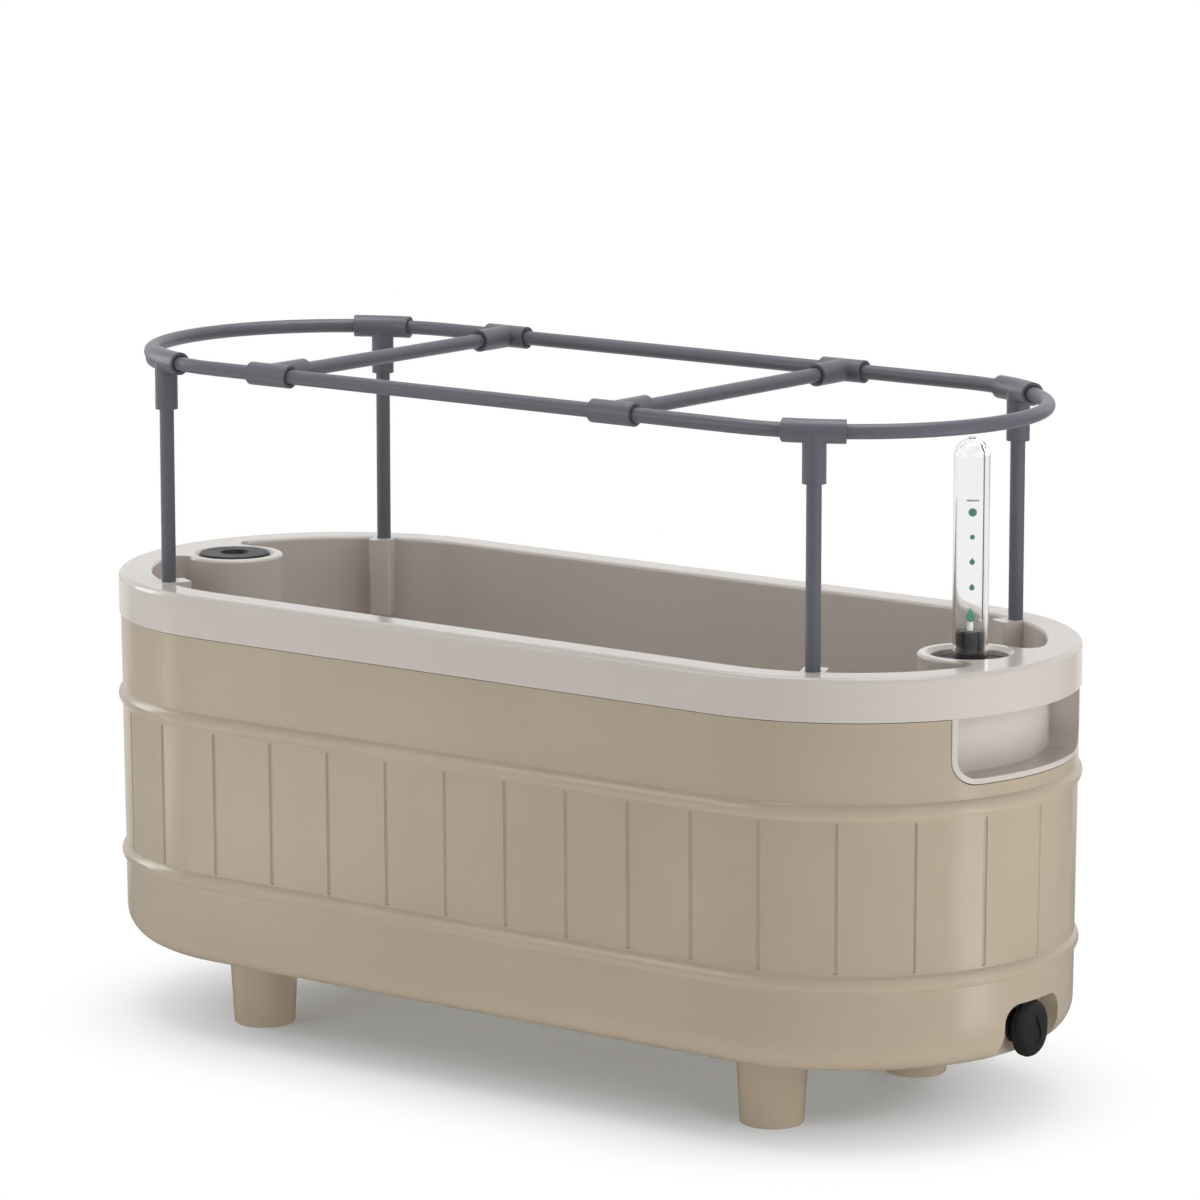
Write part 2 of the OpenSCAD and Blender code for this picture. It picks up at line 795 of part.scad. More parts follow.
// Straight rod along X at the ring's level and side
module ring_straight(d, from, to) {
    translate([from, ring_r, ring_z]) rotate([0, 90, 0]) cylinder(d = d, h = to - from);
}

// Flared mouth of a tee's bore, which goes in along +Z from Z = 0
module tee_mouth() {
    translate([0, 0, -over])
        cylinder(d1 = bore_d + 2 * (tee_flare + over), d2 = bore_d - 2 * over, h = tee_flare + 2 * over);
}

module corner_tee(sx, sy) {
    color(slate_colour) corner(sx, sy) difference() {
        union() {
            ring_arc(tee_d, post_angle - tee_angle, post_angle + tee_angle);
            translate([post[0], post[1], ring_z - tee_branch]) cylinder(d = tee_d, h = tee_branch);
        }
        ring_arc(bore_d, post_angle - tee_angle - over, post_angle + tee_angle + over);
        translate([post[0], post[1], ring_z - tee_branch - over])
            cylinder(d = bore_d, h = tee_branch + over - rod_end);
        translate([post[0], post[1], ring_z - tee_branch]) tee_mouth();
        for (side = [-1, 1])
            translate([half_straight, 0, ring_z])
                rotate([0, 0, post_angle + side * tee_angle])
                    translate([ring_r, 0, 0]) rotate([side * 90, 0, 0]) tee_mouth();
    }
}

function bar_x(sx) = sx > 0 ? bar_right : bar_left;

module side_tee(sx, sy) {
    x = bar_x(sx);
    from = x - side_run / 2;
    to = x + side_run / 2;
    color(slate_colour) corner(sx, sy) difference() {
        union() {
            ring_straight(tee_d, from, to);
            translate([x, ring_r, ring_z]) rotate([90, 0, 0]) cylinder(d = tee_d, h = tee_branch);
        }
        ring_straight(bore_d, from - over, to + over);
        translate([x, ring_r - rod_end, ring_z])
            rotate([90, 0, 0])
                cylinder(d = bore_d, h = tee_branch + over - rod_end);
        translate([from, ring_r, ring_z]) rotate([0, 90, 0]) tee_mouth();
        translate([to, ring_r, ring_z]) rotate([0, -90, 0]) tee_mouth();
        translate([x, ring_r - tee_branch, ring_z]) rotate([-90, 0, 0]) tee_mouth();
    }
}

module ring_end(sx) {
    reach = post_angle - stop_angle;
    color(slate_colour) corner(sx, 1) ring_arc(rod_d - bend_thin, -reach, reach);
}

module ring_side(sx, sy) {
    color(slate_colour) corner(sx, sy) {
        ring_arc(rod_d - bend_thin, post_angle + stop_angle, 90);
        ring_straight(rod_d, bar_x(sx) + rod_stop / 2, half_straight);
    }
}

module ring_middle(sy) {
    color(slate_colour)
        corner(1, sy)
            ring_straight(rod_d, -bar_left + rod_stop / 2, bar_right - rod_stop / 2);
}

module cross_bar(sx) {
    color(slate_colour)
        translate([sx * bar_x(sx), 0, ring_z])
            rotate([90, 0, 0])
                cylinder(d = rod_d, h = 2 * (ring_r - rod_end), center = true);
}

tub();
foot(-1, -1);  // foot_front_left
foot(1, -1);  // foot_front_right
foot(-1, 1);  // foot_back_left
foot(1, 1);  // foot_back_right
drain_plug();
drain_washer();
liner();
wick_cup(-1);  // wick_cup_left
wick_cup(0);  // wick_cup_middle
wick_cup(1);  // wick_cup_right
fill_cap();
gauge_flange();
gauge_tube();
float_cage();
float();
float_rod();
level_pointer();
upright(-1, -1);  // upright_front_left
upright(1, -1);  // upright_front_right
upright(-1, 1);  // upright_back_left
upright(1, 1);  // upright_back_right
corner_tee(-1, -1);  // corner_tee_front_left
corner_tee(1, -1);  // corner_tee_front_right
corner_tee(-1, 1);  // corner_tee_back_left
corner_tee(1, 1);  // corner_tee_back_right
ring_end(-1);  // ring_end_left
ring_end(1);  // ring_end_right
ring_side(-1, -1);  // ring_side_front_left
ring_side(1, -1);  // ring_side_front_right
ring_side(-1, 1);  // ring_side_back_left
ring_side(1, 1);  // ring_side_back_right
ring_middle(-1);  // ring_middle_front
ring_middle(1);  // ring_middle_back
side_tee(-1, -1);  // side_tee_front_left
side_tee(1, -1);  // side_tee_front_right
side_tee(-1, 1);  // side_tee_back_left
side_tee(1, 1);  // side_tee_back_right
cross_bar(-1);  // cross_bar_left
cross_bar(1);  // cross_bar_right
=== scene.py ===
"""Looks of the self-watering planter: moulded plastics, a clear gauge with a printed scale, studio light."""

import json
import math

import bmesh
import bpy
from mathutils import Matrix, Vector


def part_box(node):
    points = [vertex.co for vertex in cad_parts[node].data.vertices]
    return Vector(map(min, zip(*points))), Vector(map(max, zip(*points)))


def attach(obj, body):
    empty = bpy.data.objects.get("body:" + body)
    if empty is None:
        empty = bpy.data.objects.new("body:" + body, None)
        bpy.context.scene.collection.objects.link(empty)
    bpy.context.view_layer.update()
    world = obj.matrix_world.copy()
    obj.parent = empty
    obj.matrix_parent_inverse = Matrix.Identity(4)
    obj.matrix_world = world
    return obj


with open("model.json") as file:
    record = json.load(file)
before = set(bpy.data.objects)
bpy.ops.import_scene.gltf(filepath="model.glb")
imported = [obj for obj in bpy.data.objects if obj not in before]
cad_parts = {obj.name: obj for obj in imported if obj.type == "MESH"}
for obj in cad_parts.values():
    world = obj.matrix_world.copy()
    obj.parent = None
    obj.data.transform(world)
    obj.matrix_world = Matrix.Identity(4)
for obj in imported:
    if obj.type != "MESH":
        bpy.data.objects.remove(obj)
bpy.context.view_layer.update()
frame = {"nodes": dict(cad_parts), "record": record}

MM = 0.001

# Camera of the photograph, in metres and degrees, with its lens and sensor in millimetres
CAMERA_AT = (1.8875, -2.4444, 0.8003)
CAMERA_AZIMUTH = 37.515
CAMERA_ELEVATION = 10.07
CAMERA_LENS = 171.26
CAMERA_SENSOR = 36.0

# Sockets of the node that mixes colours
MIX_FACTOR = 0
MIX_FIRST = 6
MIX_SECOND = 7
MIX_RESULT = 2


def linear(red, green, blue):
    """Scene colour of a screen colour given as three numbers from 0 to 255."""
    channels = []
    for value in (red, green, blue):
        share = value / 255
        channels.append(share / 12.92 if share <= 0.04045 else ((share + 0.055) / 1.055) ** 2.4)
    return (*channels, 1.0)


def scaled(colour, factor):
    """The same colour, lighter or darker by a factor."""
    return (*(min(1.0, channel * factor) for channel in colour[:3]), 1.0)


def grey(level):
    """A scene colour without a hue."""
    return (level, level, level, 1.0)


class Tree:
    """Builds the node tree of one material or world."""

    def __init__(self, owner):
        owner.use_nodes = True
        self.nodes = owner.node_tree.nodes
        self.links = owner.node_tree.links
        self.nodes.clear()

    def add(self, kind, settings=None, **inputs):
        """Adds a node. An input is a socket to link or a plain value, and _ in its name is a space."""
        made = self.nodes.new(kind)
        for name, value in (settings or {}).items():
            setattr(made, name, value)
        for name, value in inputs.items():
            self.feed(made.inputs[name.replace("_", " ")], value)
        return made

    def feed(self, socket, value):
        """Links an input to another node's output, or gives it a plain value."""
        if isinstance(value, bpy.types.NodeSocket):
            self.links.new(value, socket)
        else:
            socket.default_value = value

    def math(self, operation, first, second=0.0, third=0.0):
        """Works out a number."""
        made = self.add("ShaderNodeMath", {"operation": operation})
        for socket, value in zip(made.inputs, (first, second, third)):
            self.feed(socket, value)
        return made.outputs[0]

    def vector_math(self, operation, result, first, second=(0.0, 0.0, 0.0)):
        """Works on vectors. The result is the name of the output, Vector or Value for a number."""
        made = self.add("ShaderNodeVectorMath", {"operation": operation})
        self.feed(made.inputs[0], first)
        self.feed(made.inputs[1], second)
        return made.outputs[result]

    def blend(self, factor, first, second):
        """Mixes two colours."""
        made = self.add("ShaderNodeMix", {"data_type": "RGBA"})
        self.feed(made.inputs[MIX_FACTOR], factor)
        self.feed(made.inputs[MIX_FIRST], first)
        self.feed(made.inputs[MIX_SECOND], second)
        return made.outputs[MIX_RESULT]

    def choose(self, factor, first, second):
        """Mixes two shaders, from the first at 0 to the second at 1."""
        made = self.add("ShaderNodeMixShader", Fac=factor)
        self.feed(made.inputs[1], first.outputs[0])
        self.feed(made.inputs[2], second.outputs[0])
        return made

    def plus(self, first, second):
        """Adds one shader to another."""
        made = self.add("ShaderNodeAddShader")
        self.feed(made.inputs[0], first.outputs[0])
        self.feed(made.inputs[1], second.outputs[0])
        return made

    def span(self, value, low, high, to_low, to_high):
        """Maps one range of numbers to another, without going past its ends."""
        made = self.add("ShaderNodeMapRange", {"clamp": True}, Value=value)
        names = ("From Min", "From Max", "To Min", "To Max")
        for name, number in zip(names, (low, high, to_low, to_high)):
            made.inputs[name].default_value = number
        return made.outputs[0]

    def noise(self, where, scale, detail=2.0, roughness=0.5):
        """Smooth random lumps, with scale of them to the metre."""
        made = self.add(
            "ShaderNodeTexNoise", Vector=where, Scale=scale, Detail=detail, Roughness=roughness
        )
        return made.outputs[0]

    def stretch(self, where, factors):
        """Places along three axes, times a factor each. A small factor draws noise out along its axis."""
        return self.add("ShaderNodeMapping", Vector=where, Scale=factors).outputs[0]

    def place(self):
        """Where a point lies on its piece, in metres."""
        return self.add("ShaderNodeTexCoord").outputs["Object"]


# Part of a noise's range that is spread over its whole effect
NOISE_LOW = 0.3
NOISE_HIGH = 0.7
PATCH_LOW = 0.35

# Unevenness of moulded plastic, in lumps to the metre
CLOUD_SCALE = 11.0
SPECK_SCALE = 520.0
RUBBED_SCALE = 70.0
SHEEN_SCALE = 38.0
DRAWN_SCALE = 300.0

# Specks: the noise where they start and are full, how much of them shows, and their dark against the mottle's
SPECK_START = 0.62
SPECK_FULL = 0.75
SPECK_SHARE = 0.35
SPECK_DARK = 2.5

# Edges: the rounding that shows, the band that is rubbed pale, and the turn where rubbing starts and is full
EDGE_ROUND = 0.5 * MM
RUBBED_BAND = 1.6 * MM
RUBBED_START = 0.985
RUBBED_FULL = 0.82
RUBBED_PALE = 1.22
BEVEL_SAMPLES = 4

# Relief and gloss of moulded plastic
GRAIN_STRENGTH = 0.35
DRAWN_SHARE = 0.8
GLOSS_SPREAD = 0.035
PLASTIC_IOR = 1.49


def rubbed_edges(tree, where, tone, colour, wear):
    """A tone that turns paler in patches along the edges."""
    wide = tree.add("ShaderNodeBevel", {"samples": BEVEL_SAMPLES}, Radius=RUBBED_BAND).outputs[0]
    face = tree.add("ShaderNodeNewGeometry").outputs["Normal"]
    flatness = tree.vector_math("DOT_PRODUCT", "Value", wide, face)
    edge = tree.span(flatness, RUBBED_START, RUBBED_FULL, 0.0, 1.0)
    patches = tree.span(tree.noise(where, RUBBED_SCALE, detail=3.0), PATCH_LOW, NOISE_HIGH, 0.0, wear)
    return tree.blend(tree.math("MULTIPLY", edge, patches), tone, scaled(colour, RUBBED_PALE))


def plastic(
    name, colour, rough, grain_scale, grain_depth, mottle=0.03, wear=0.25, streak=None, shine=0.5, edges=True
):
    """Moulded plastic: uneven colour, fine grain, uneven gloss, and soft edges that are rubbed paler."""
    made = bpy.data.materials.new(name)
    made.diffuse_color = colour
    tree = Tree(made)
    where = tree.place()
    cloud = tree.noise(where, CLOUD_SCALE, detail=4.0, roughness=0.55)
    tone = tree.blend(
        tree.span(cloud, NOISE_LOW, NOISE_HIGH, 0.0, 1.0),
        scaled(colour, 1 - mottle),
        scaled(colour, 1 + mottle),
    )
    specks = tree.noise(where, SPECK_SCALE, detail=1.0)
    tone = tree.blend(
        tree.span(specks, SPECK_START, SPECK_FULL, 0.0, SPECK_SHARE),
        tone,
        scaled(colour, 1 - SPECK_DARK * mottle),
    )
    if edges:
        tone = rubbed_edges(tree, where, tone, colour, wear)
    sheen = tree.noise(where, SHEEN_SCALE, detail=3.0)
    gloss = tree.span(sheen, NOISE_LOW, NOISE_HIGH, rough - GLOSS_SPREAD, rough + GLOSS_SPREAD)
    grain = tree.noise(where, grain_scale, roughness=0.6)
    if streak is not None:
        lines = tree.noise(tree.stretch(where, streak), DRAWN_SCALE)
        grain = tree.math("MULTIPLY_ADD", lines, DRAWN_SHARE, grain)
    relief = tree.add("ShaderNodeBump", Strength=GRAIN_STRENGTH, Distance=grain_depth, Height=grain)
    if edges:
        soft = tree.add("ShaderNodeBevel", {"samples": BEVEL_SAMPLES}, Radius=EDGE_ROUND)
        tree.feed(relief.inputs["Normal"], soft.outputs[0])
    shader = tree.add(
        "ShaderNodeBsdfPrincipled",
        Base_Color=tone,
        Roughness=gloss,
        IOR=PLASTIC_IOR,
        Specular_IOR_Level=shine,
        Normal=relief.outputs[0],
    )
    tree.add("ShaderNodeOutputMaterial", Surface=shader.outputs[0])
    return made


# Clear acrylic: flow marks along the tube, a polish that is a little uneven, and the light that it passes on
FLOW_SCALE = 160.0
FLOW_STRETCH = (1.0, 1.0, 0.12)
FLOW_DEPTH = 0.06 * MM
FLOW_STRENGTH = 0.12
POLISH_SCALE = 45.0
POLISH_BEST = 0.01
POLISH_WORST = 0.05
ACRYLIC_IOR = 1.47
ACRYLIC = linear(249, 249, 249)
ACRYLIC_SHOWN = linear(235, 240, 242)
ACRYLIC_SHADE = (0.93, 0.94, 0.94, 1.0)


def clear_plastic(name):
    """Clear moulded acrylic with faint flow marks, that lets lamps through to what is behind it."""
    made = bpy.data.materials.new(name)
    made.diffuse_color = ACRYLIC_SHOWN
    tree = Tree(made)
    where = tree.place()
    flow = tree.noise(tree.stretch(where, FLOW_STRETCH), FLOW_SCALE)
    relief = tree.add("ShaderNodeBump", Strength=FLOW_STRENGTH, Distance=FLOW_DEPTH, Height=flow)
    polish = tree.noise(where, POLISH_SCALE, detail=3.0)
    shader = tree.add(
        "ShaderNodeBsdfPrincipled",
        Base_Color=ACRYLIC,
        Roughness=tree.span(polish, PATCH_LOW, NOISE_HIGH, POLISH_BEST, POLISH_WORST),
        IOR=ACRYLIC_IOR,
        Transmission_Weight=1.0,
        Normal=relief.outputs[0],
    )
    passing = tree.add("ShaderNodeBsdfTransparent", Color=ACRYLIC_SHADE)
    path = tree.add("ShaderNodeLightPath")
    mixed = tree.choose(path.outputs["Is Shadow Ray"], shader, passing)
    tree.add("ShaderNodeOutputMaterial", Surface=mixed.outputs[0])
    return made


# Screen colours of the materials
TAUPE = linear(186, 172, 152)
OFF_WHITE = linear(211, 203, 196)
SLATE = linear(98, 99, 108)
BLACK = linear(26, 26, 27)
RUBBER = linear(29, 29, 30)
PALE = linear(226, 226, 222)
TEAL = linear(48, 124, 108)
PRINT_TEAL = linear(88, 140, 132)
PRINT_GREY = linear(160, 166, 166)

# How far the drawn lines of a rod are stretched along it
DRAWN_OUT = 0.03


def slate(name, **form):
    """The plastic of the support frame."""
    return plastic(
        name, SLATE, rough=0.38, grain_scale=1300.0, grain_depth=0.06 * MM, mottle=0.035, wear=0.5, **form
    )


def ink(name, colour):
    """The print of the gauge's scale."""
    return plastic(
        name, colour, rough=0.45, grain_scale=1800.0, grain_depth=0.02 * MM, mottle=0.05, wear=0.0
    )


# A material for each slot of the record
LOOKS = {
    "tub_plastic": plastic(
        "taupe_plastic", TAUPE, rough=0.225, grain_scale=1500.0, grain_depth=0.10 * MM
    ),
    "liner_plastic": plastic(
        "off_white_plastic",
        OFF_WHITE,
        rough=0.14,
        grain_scale=900.0,
        grain_depth=0.03 * MM,
        mottle=0.015,
        wear=0.12,
    ),
    "frame_plastic": slate("slate_plastic"),
    "black_plastic": plastic(
        "black_plastic",
        BLACK,
        rough=0.42,
        grain_scale=1600.0,
        grain_depth=0.08 * MM,
        mottle=0.06,
        wear=0.5,
        shine=0.19,
    ),
    "black_rubber": plastic(
        "black_rubber",
        RUBBER,
        rough=0.55,
        grain_scale=2200.0,
        grain_depth=0.12 * MM,
        mottle=0.08,
        wear=0.6,
        shine=0.4,
    ),
    "clear_plastic": clear_plastic("clear_acrylic"),
    "float_plastic": plastic(
        "pale_foam_plastic",
        PALE,
        rough=0.42,
        grain_scale=1400.0,
        grain_depth=0.10 * MM,
        mottle=0.02,
        wear=0.1,
    ),
    "teal_plastic": plastic(
        "teal_plastic", TEAL, rough=0.34, grain_scale=1500.0, grain_depth=0.05 * MM, wear=0.2
    ),
}

# The round rods by the start of their names. A straight one has drawn lines along its own axis
BENT_ROD = slate("slate_rod_bent", edges=False)
ROD_LOOKS = {
    "upright_": slate("slate_rod_z", streak=(1.0, 1.0, DRAWN_OUT), edges=False),
    "ring_middle_": slate("slate_rod_x", streak=(DRAWN_OUT, 1.0, 1.0), edges=False),
    "cross_bar_": slate("slate_rod_y", streak=(1.0, DRAWN_OUT, 1.0), edges=False),
    "ring_side_": BENT_ROD,
    "ring_end_": BENT_ROD,
}

# Angle past which an edge of a solid shows as an edge, and how far apart joined corners may be
CREASE = math.radians(28)
JOIN_WITHIN = 0.001 * MM
LARGE_FACE_WEIGHT = 80


def smooth_shading():
    """A node group that joins the corners of a mesh and shades it smooth up to its creases."""
    group = bpy.data.node_groups.new("smooth_to_creases", "GeometryNodeTree")
    group.interface.new_socket("Geometry", in_out="INPUT", socket_type="NodeSocketGeometry")
    group.interface.new_socket("Geometry", in_out="OUTPUT", socket_type="NodeSocketGeometry")
    nodes = group.nodes
    links = group.links
    start = nodes.new("NodeGroupInput")
    end = nodes.new("NodeGroupOutput")
    join = nodes.new("GeometryNodeMergeByDistance")
    join.inputs["Distance"].default_value = JOIN_WITHIN
    smooth = nodes.new("GeometryNodeSetShadeSmooth")
    smooth.inputs["Shade Smooth"].default_value = True
    angle = nodes.new("GeometryNodeInputMeshEdgeAngle")
    sharp = nodes.new("FunctionNodeCompare")
    sharp.operation = "GREATER_THAN"
    sharp.inputs["B"].default_value = CREASE
    crease = nodes.new("GeometryNodeSetShadeSmooth")
    crease.domain = "EDGE"
    crease.inputs["Shade Smooth"].default_value = False
    links.new(start.outputs[0], join.inputs["Geometry"])
    links.new(join.outputs[0], smooth.inputs["Geometry"])
    links.new(smooth.outputs[0], crease.inputs["Geometry"])
    links.new(angle.outputs["Unsigned Angle"], sharp.inputs["A"])
    links.new(sharp.outputs[0], crease.inputs["Selection"])
    links.new(crease.outputs[0], end.inputs[0])
    return group


SMOOTH = smooth_shading()


def dress(piece, look):
    """Gives a piece one material and smooth shading."""
    piece.data.materials.clear()
    piece.data.materials.append(look)
    if "custom_normal" in piece.data.attributes:
        piece.data.attributes.remove(piece.data.attributes["custom_normal"])
    shading = piece.modifiers.new("smooth", "NODES")
    shading.node_group = SMOOTH
    even = piece.modifiers.new("even", "WEIGHTED_NORMAL")
    even.keep_sharp = True
    even.weight = LARGE_FACE_WEIGHT


for row in frame["record"]["subparts"]:
    look = LOOKS[row["material_slot"]]
    for start, rod_look in ROD_LOOKS.items():
        if row["node"].startswith(start):
            look = rod_look
    dress(frame["nodes"][row["node"]], look)


def arc(radius, start, sweep, steps, middle=0.0):
    """Points along a round arc, with both of its ends, as places across and up."""
    points = []
    for i in range(steps + 1):
        turn = start + sweep * i / steps
        points.append((middle + radius * math.cos(turn), radius * math.sin(turn)))
    return points


def droplet(width, height, steps=20):
    """Outline of a drop with its tip at the top, around the middle of its round end."""
    round_r = width / 2
    tip = height - round_r
    lean = math.acos(round_r / tip)
    return arc(round_r, math.pi / 2 + lean, 2 * math.pi - 2 * lean, steps) + [(0.0, tip)]


def disc(width, steps=24):
    """Outline of a round dot."""
    return arc(width / 2, 0.0, 2 * math.pi, steps)[:-1]


def bar(width, height, steps=12):
    """Outline of a level bar with round ends."""
    end_at = (width - height) / 2
    right = arc(height / 2, -math.pi / 2, math.pi, steps, middle=end_at)
    left = arc(height / 2, math.pi / 2, math.pi, steps, middle=-end_at)
    return right + left


# The print stands proud of the tube by a film of ink, and reaches a little into it
PRINT_PROUD = 0.06 * MM
PRINT_SUNK = 0.04 * MM
INNER_SHARE = 0.5


def print_on_tube(name, marks, look, body):
    """Marks printed on the gauge's tube: each outline, at its depth below the top, wraps round the front."""
    low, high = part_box("gauge_tube")
    axis_x = (low.x + high.x) / 2
    axis_y = (low.y + high.y) / 2
    tube_r = (high.x - low.x) / 2
    facing = math.radians(CAMERA_AZIMUTH - 90)
    mesh = bmesh.new()

    def place(u, v, radius):
        turn = facing + u / tube_r
        return (axis_x + radius * math.cos(turn), axis_y + radius * math.sin(turn), v)

    def ring(points, level, share, radius):
        return [mesh.verts.new(place(u * share, level + v * share, radius)) for u, v in points]

    for points, depth in marks:
        level = high.z - depth
        layers = [ring(points, level, share, tube_r - PRINT_SUNK) for share in (INNER_SHARE, 1.0)]
        layers += [ring(points, level, share, tube_r + PRINT_PROUD) for share in (1.0, INNER_SHARE)]
        back = mesh.verts.new(place(0.0, level, tube_r - PRINT_SUNK))
        front = mesh.verts.new(place(0.0, level, tube_r + PRINT_PROUD))
        count = len(points)
        for i in range(count):
            after = (i + 1) % count
            mesh.faces.new((back, layers[0][after], layers[0][i]))
            for inner, outer in zip(layers, layers[1:]):
                mesh.faces.new((inner[i], inner[after], outer[after], outer[i]))
            mesh.faces.new((front, layers[-1][i], layers[-1][after]))
    bmesh.ops.recalc_face_normals(mesh, faces=mesh.faces)
    data = bpy.data.meshes.new(name)
    mesh.to_mesh(data)
    mesh.free()
    piece = bpy.data.objects.new(name, data)
    bpy.context.scene.collection.objects.link(piece)
    dress(piece, look)
    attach(piece, body)


# The marks of the scale, from the lowest level up, with their depths below the top of the tube
DROP = droplet(2.8 * MM, 3.7 * MM)
SMALL_DOT = disc(2.6 * MM)
LARGE_DOT = disc(4.4 * MM)
TOP_BAR = bar(6.6 * MM, 0.9 * MM)
SCALE_MARKS = [(DROP, 78.0 * MM), (DROP, 64.5 * MM), (SMALL_DOT, 51.3 * MM), (LARGE_DOT, 38.3 * MM)]
TOP_MARKS = [(TOP_BAR, 32.1 * MM)]
print_on_tube("gauge_scale", SCALE_MARKS, ink("scale_ink", PRINT_TEAL), "gauge")
print_on_tube("gauge_top_bar", TOP_MARKS, ink("bar_ink", PRINT_GREY), "gauge")


# The stage: a pale floor, and the light that it throws back on the planter
FLOOR_HALF = 40.0
FLOOR_TONE = grey(0.9)
FLOOR_BOUNCE = 0.33

# How the floor is seen: cool under the planter, against the warm light that the tub throws down, neutral at
# the edge of the shadow, and white from there on
UNDER_TONE = (0.77, 0.87, 1.0, 1.0)
EDGE_TONE = grey(0.87)
SEEN_LIFT = 0.07
WHITE = 1.0

# Where the shadow starts to fade and has gone, from the tub's outline, and how much shorter its ends are
SHADOW_NEAR = -0.075
SHADOW_FAR = 0.08
SHADOW_END = 0.036

# How the floor shows in gloss: dark in front, and paler towards the backdrop
GLOSS_TONE = grey(0.30)
GLOSS_BACK = 0.55
GLOSS_BACK_EDGE = 0.66
GLOSS_BACK_FULL = 0.78


def towards_backdrop(tree, way):
    """How far a direction points at the backdrop, which faces the photograph's camera, from -1 to 1."""
    turn = math.radians(CAMERA_AZIMUTH)
    return tree.vector_math("DOT_PRODUCT", "Value", way, (-math.sin(turn), math.cos(turn), 0.0))


def seen_rays(tree, path):
    """1 for what the camera sees, also through the clear tube."""
    return tree.math("MAXIMUM", path.outputs["Is Camera Ray"], path.outputs["Is Transmission Ray"])


def shadow_share(tree, where):
    """0 under the planter and 1 away from it, by the distance from the tub's round-ended outline."""
    low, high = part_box("tub")
    end_r = (high.y - low.y) / 2
    half_straight = (high.x - low.x) / 2 - end_r - SHADOW_END
    axes = tree.add("ShaderNodeSeparateXYZ", Vector=where)
    along = tree.math("ABSOLUTE", axes.outputs["X"])
    past_end = tree.math("MAXIMUM", tree.math("SUBTRACT", along, half_straight), 0.0)
    from_end = tree.add("ShaderNodeCombineXYZ", X=past_end, Y=axes.outputs["Y"]).outputs[0]
    away = tree.add(
        "ShaderNodeMapRange",
        {"interpolation_type": "SMOOTHSTEP"},
        Value=tree.vector_math("LENGTH", "Value", from_end),
        From_Min=end_r + SHADOW_NEAR,
        From_Max=end_r + SHADOW_FAR,
    )
    return away.outputs[0]


def floor_material():
    """Pale for the light on the planter, dark in gloss, and white around a soft shadow where it is seen."""
    made = bpy.data.materials.new("floor")
    tree = Tree(made)
    where = tree.place()
    bounce = tree.plus(
        tree.add("ShaderNodeBsdfDiffuse", Color=FLOOR_TONE),
        tree.add("ShaderNodeEmission", Strength=FLOOR_BOUNCE),
    )
    behind = towards_backdrop(tree, tree.vector_math("NORMALIZE", "Vector", where))
    glow = tree.span(behind, GLOSS_BACK_EDGE, GLOSS_BACK_FULL, 0.0, GLOSS_BACK)
    gloss = tree.plus(
        tree.add("ShaderNodeBsdfDiffuse", Color=GLOSS_TONE),
        tree.add("ShaderNodeEmission", Strength=glow),
    )
    away = shadow_share(tree, where)
    shadow = tree.plus(
        tree.add("ShaderNodeBsdfDiffuse", Color=tree.blend(away, UNDER_TONE, EDGE_TONE)),
        tree.add("ShaderNodeEmission", Strength=SEEN_LIFT),
    )
    view = tree.choose(away, shadow, tree.add("ShaderNodeEmission", Strength=WHITE))
    path = tree.add("ShaderNodeLightPath")
    unseen = tree.choose(path.outputs["Is Glossy Ray"], bounce, gloss)
    whole = tree.choose(seen_rays(tree, path), unseen, view)
    tree.add("ShaderNodeOutputMaterial", Surface=whole.outputs[0])
    return made


def make_floor():
    """A level square of floor under the feet."""
    mesh = bpy.data.meshes.new("floor")
    corners = [
        (-FLOOR_HALF, -FLOOR_HALF, 0.0),
        (FLOOR_HALF, -FLOOR_HALF, 0.0),
        (FLOOR_HALF, FLOOR_HALF, 0.0),
        (-FLOOR_HALF, FLOOR_HALF, 0.0),
    ]
    mesh.from_pydata(corners, [], [(0, 1, 2, 3)])
    mesh.materials.append(floor_material())
    floor = bpy.data.objects.new("floor", mesh)
    bpy.context.scene.collection.objects.link(floor)


# The studio: a faint even fill, and what gloss shows, a white backdrop in a dimmer room
WORLD_FILL = 0.04
ROOM_TONE = 0.65
BACKDROP_EDGE = 0.10
BACKDROP_FULL = 0.60


def make_world():
    """White where it is seen, dimmer in gloss, and a faint even light on the planter."""
    world = bpy.data.worlds.new("studio")
    bpy.context.scene.world = world
    tree = Tree(world)
    along = towards_backdrop(tree, tree.add("ShaderNodeTexCoord").outputs["Generated"])
    room = tree.span(along, BACKDROP_EDGE, BACKDROP_FULL, ROOM_TONE, WHITE)
    path = tree.add("ShaderNodeLightPath")
    past_fill = tree.math("SUBTRACT", room, WORLD_FILL)
    strength = tree.math("MULTIPLY_ADD", path.outputs["Is Glossy Ray"], past_fill, WORLD_FILL)
    strength = tree.math("MAXIMUM", strength, seen_rays(tree, path))
    sky = tree.add("ShaderNodeBackground", Color=grey(WHITE), Strength=strength)
    tree.add("ShaderNodeOutputWorld", Surface=sky.outputs[0])


def make_area_lamp(name, length, width, watts):
    """An even rectangular lamp, still to be put in place."""
    lamp = bpy.data.lights.new(name, "AREA")
    lamp.shape = "RECTANGLE"
    lamp.size = length
    lamp.size_y = width
    lamp.energy = watts
    holder = bpy.data.objects.new(name, lamp)
    bpy.context.scene.collection.objects.link(holder)
    return holder


def make_softbox(name, at, aim, width, height, watts, mirrored=True):
    """A softbox that faces its aim. Where it isn't mirrored, it lights without showing in gloss."""
    holder = make_area_lamp(name, width, height, watts)
    holder.location = at
    holder.rotation_euler = (Vector(aim) - Vector(at)).to_track_quat("-Z", "Y").to_euler()
    holder.visible_glossy = mirrored


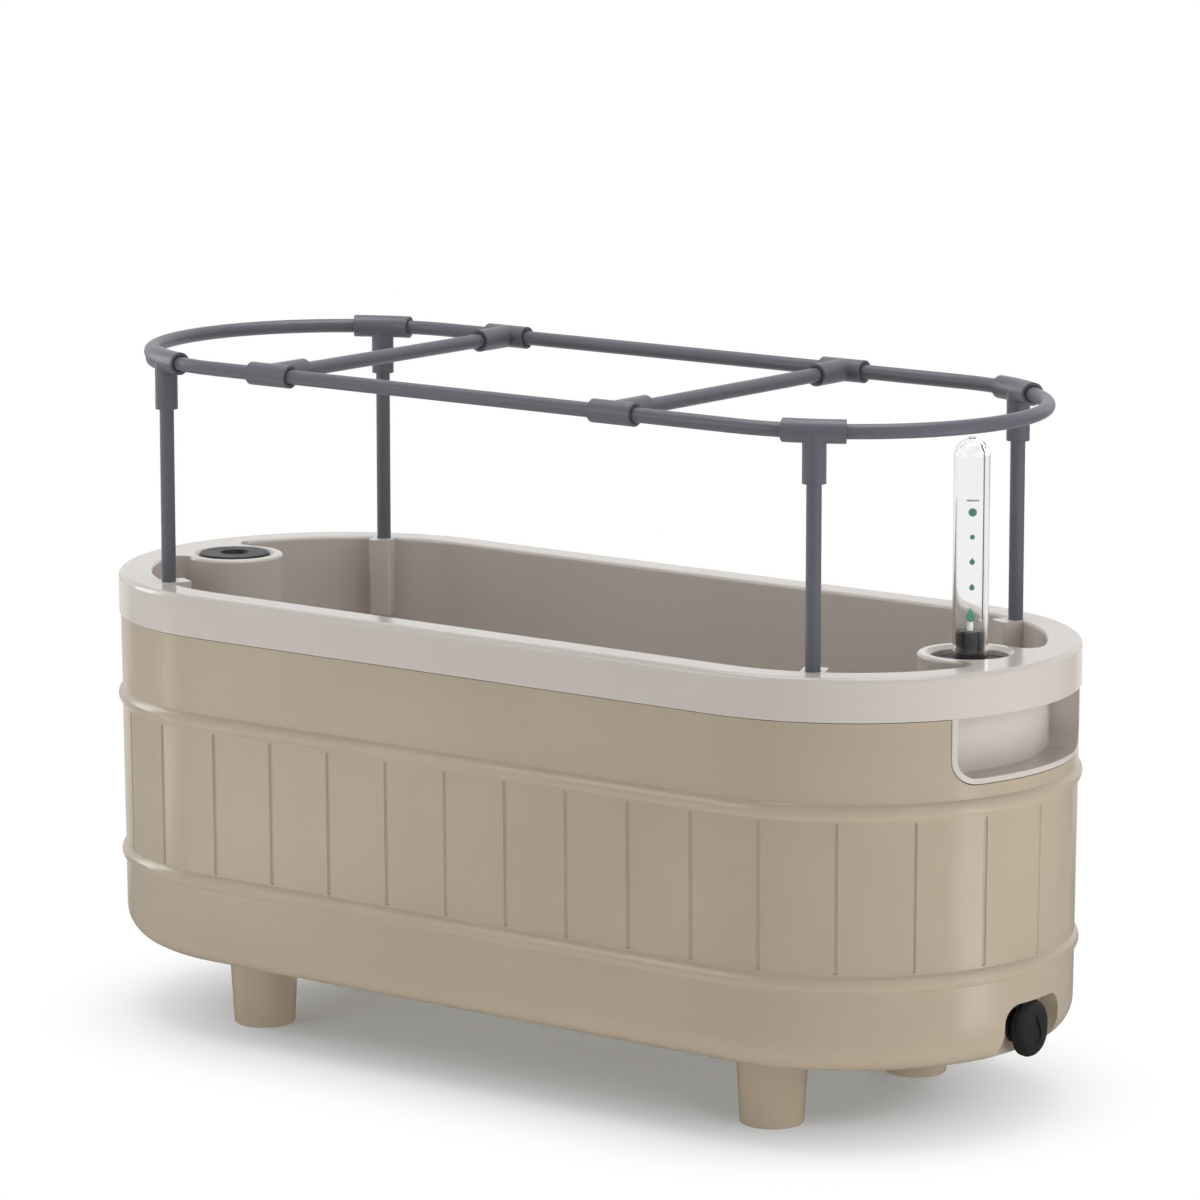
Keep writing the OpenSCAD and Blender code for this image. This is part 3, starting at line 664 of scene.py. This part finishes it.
# How high the bright strips lie above the floor
BOARD_LEVEL = 0.5 * MM


def make_board(name, angle, near, far, width, watts):
    """A bright strip of floor that runs away from the planter, and shows as a soft streak on its sides."""
    holder = make_area_lamp(name, far - near, width, watts)
    turn = math.radians(angle)
    middle = (near + far) / 2
    holder.location = (middle * math.cos(turn), middle * math.sin(turn), BOARD_LEVEL)
    holder.rotation_euler = (math.pi, 0.0, turn)
    holder.visible_camera = False


def make_camera():
    """The camera of the photograph."""
    lens = bpy.data.cameras.new("camera")
    lens.lens = CAMERA_LENS
    lens.sensor_width = CAMERA_SENSOR
    lens.sensor_fit = "HORIZONTAL"
    camera = bpy.data.objects.new("camera", lens)
    camera.location = CAMERA_AT
    turn = math.radians(CAMERA_AZIMUTH)
    rise = math.radians(CAMERA_ELEVATION)
    back = Vector((math.sin(turn) * math.cos(rise), -math.cos(turn) * math.cos(rise), math.sin(rise)))
    camera.rotation_mode = "QUATERNION"
    camera.rotation_quaternion = (-back).to_track_quat("-Z", "Y")
    bpy.context.scene.collection.objects.link(camera)
    bpy.context.scene.camera = camera


# Lamps stand in metres round the planter, the side ones at one level, and shine in watts
MIDDLE = (0.0, 0.0, 0.18)
LOW_MIDDLE = (0.0, 0.0, 0.1)
SIDE_LEVEL = 0.75
SIDE_HEIGHT = 1.4

# Softboxes at the sides: name, place along x and y, width, watts, and whether gloss shows them
SIDE_SOFTBOXES = [
    ("front_left_softbox", -0.9, -2.15, 1.4, 10.0, True),
    ("left_softbox", -2.3, -0.4, 0.8, 12.5, True),
    ("front_right_softbox", 2.2, -0.8, 0.9, 10.0, False),
    ("right_softbox", 2.3, 0.35, 0.9, 12.0, False),
    ("back_softbox", -0.3, 2.3, 1.4, 10.0, False),
]

make_floor()
make_world()
make_softbox("top_softbox", (-0.1, 0.1, 2.2), LOW_MIDDLE, width=1.8, height=1.4, watts=31.0)
for name, x, y, width, watts, mirrored in SIDE_SOFTBOXES:
    make_softbox(name, (x, y, SIDE_LEVEL), MIDDLE, width, SIDE_HEIGHT, watts, mirrored)
make_board("left_board", angle=-152.0, near=0.70, far=1.40, width=0.11, watts=0.75)
make_board("front_left_board", angle=-133.0, near=0.50, far=1.25, width=0.20, watts=0.60)
make_board("right_board", angle=3.0, near=0.50, far=1.30, width=0.12, watts=0.80)
make_camera()

bpy.context.scene.view_settings.view_transform = "Standard"
